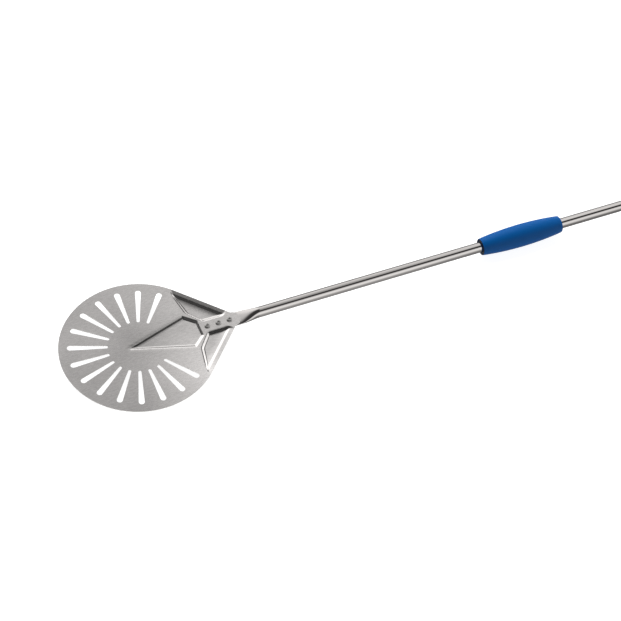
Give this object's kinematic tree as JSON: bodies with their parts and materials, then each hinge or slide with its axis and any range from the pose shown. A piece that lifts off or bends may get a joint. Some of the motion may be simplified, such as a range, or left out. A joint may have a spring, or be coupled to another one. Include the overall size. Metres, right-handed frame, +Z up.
{
  "type": "pizza peel",
  "caption": "Long-handled turning peel: round slotted steel blade riveted to a steel tube, with a grip that slides and spins on the tube and a fixed grip at the end.",
  "frame": {"origin": "centre of the round blade, in the plane of its flat top face", "axes": "+X from the blade along the handle to the hand end, +Z up from the blade's top face"},
  "size_m": [1.4, 0.2, 0.0302],
  "materials": {
    "blade_steel": "satin brushed",
    "rivet_steel": "polished",
    "tube_steel": "polished",
    "blue_polymer": "semi-matte moulded",
    "black_polymer": "matte"
  },
  "bodies": {
    "root": {"blade": "blade_steel", "rivet_1": "rivet_steel", "rivet_2": "rivet_steel", "rivet_3": "rivet_steel", "handle_tube": "tube_steel", "end_grip": "blue_polymer"},
    "grip_bushes": {"front_bush": "black_polymer", "rear_bush": "black_polymer"},
    "grip_sleeve": {"sliding_grip": "blue_polymer"}
  },
  "joints": [
    {"name": "grip_slide", "type": "slide", "parent": "root", "child": "grip_bushes", "axis": [1, 0, 0], "range_m": [-0.31, 0.55]},
    {"name": "grip_spin", "type": "hinge", "parent": "grip_bushes", "child": "grip_sleeve", "pos_m": [0.5376, 0, -0.0026], "axis": [1, 0, 0], "continuous": true}
  ]
}
